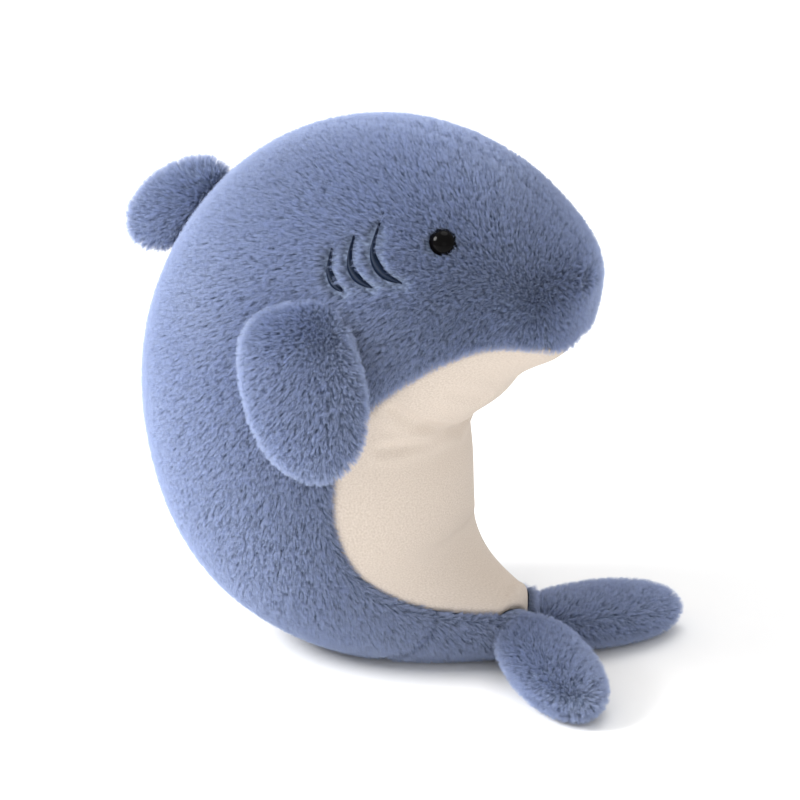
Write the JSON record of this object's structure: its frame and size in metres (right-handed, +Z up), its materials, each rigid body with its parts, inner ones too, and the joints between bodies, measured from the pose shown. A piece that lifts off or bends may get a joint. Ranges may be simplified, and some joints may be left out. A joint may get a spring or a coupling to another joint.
{
  "type": "plush shark",
  "caption": "Stuffed plush shark sitting curled in a C, with a cream belly, bead eyes, gill slits and soft fins that flex at their seams.",
  "frame": {"origin": "On the surface that the toy sits on, under the middle of its bounding box.", "axes": "+Z up. +X to the front, where the snout and the tail flukes point. +Y to the shark's left."},
  "size_m": [0.299, 0.241, 0.3],
  "materials": {
    "blue_plush": "dense short plush pile, combed, dusty blue",
    "cream_plush": "short velvety plush, cream",
    "polyester_fibre": "white polyester fibre filling",
    "eye_plastic": "polished black safety eye",
    "washer_plastic": "natural moulded washer",
    "navy_thread": "satin-stitched navy embroidery thread"
  },
  "bodies": {
    "torso": {"back_panel_right": "blue_plush", "back_panel_left": "blue_plush", "belly_panel": "cream_plush", "tail_gusset": "blue_plush", "body_stuffing": "polyester_fibre", "eye_right": "eye_plastic", "eye_left": "eye_plastic", "eye_washer_right": "washer_plastic", "eye_washer_left": "washer_plastic", "gill_front_right": "navy_thread", "gill_middle_right": "navy_thread", "gill_rear_right": "navy_thread", "gill_front_left": "navy_thread", "gill_middle_left": "navy_thread", "gill_rear_left": "navy_thread"},
    "pectoral_fin_right": {"pectoral_right_outer_panel": "blue_plush", "pectoral_right_inner_panel": "blue_plush", "pectoral_right_stuffing": "polyester_fibre"},
    "pectoral_fin_left": {"pectoral_left_outer_panel": "blue_plush", "pectoral_left_inner_panel": "blue_plush", "pectoral_left_stuffing": "polyester_fibre"},
    "dorsal_fin": {"dorsal_right_panel": "blue_plush", "dorsal_left_panel": "blue_plush", "dorsal_stuffing": "polyester_fibre"},
    "fluke_right": {"fluke_right_upper_panel": "blue_plush", "fluke_right_lower_panel": "blue_plush", "fluke_right_stuffing": "polyester_fibre"},
    "fluke_left": {"fluke_left_upper_panel": "blue_plush", "fluke_left_lower_panel": "blue_plush", "fluke_left_stuffing": "polyester_fibre"}
  },
  "joints": [
    {"name": "pectoral_right_flap", "type": "hinge", "parent": "torso", "child": "pectoral_fin_right", "pos_m": [-0.005, -0.09395, 0.22], "axis": [-1, 0, 0], "range_deg": [0, 80], "stiffness_Nm_per_rad": 0.02},
    {"name": "pectoral_left_flap", "type": "hinge", "parent": "torso", "child": "pectoral_fin_left", "pos_m": [-0.005, 0.09395, 0.22], "axis": [1, 0, 0], "range_deg": [0, 80], "stiffness_Nm_per_rad": 0.02},
    {"name": "dorsal_sway", "type": "hinge", "parent": "torso", "child": "dorsal_fin", "pos_m": [-0.11025, 0, 0.24848], "axis": [-0.5878, 0, -0.809], "range_deg": [-30, 30], "stiffness_Nm_per_rad": 0.02},
    {"name": "fluke_right_flex", "type": "hinge", "parent": "torso", "child": "fluke_right", "pos_m": [0.08706, -0.01044, 0.01928], "axis": [-0.7431, -0.6691, 0], "range_deg": [-15, 35], "stiffness_Nm_per_rad": 0.03},
    {"name": "fluke_left_flex", "type": "hinge", "parent": "torso", "child": "fluke_left", "pos_m": [0.08706, 0.01044, 0.01928], "axis": [0.7431, -0.6691, 0], "range_deg": [-15, 35], "stiffness_Nm_per_rad": 0.03}
  ]
}
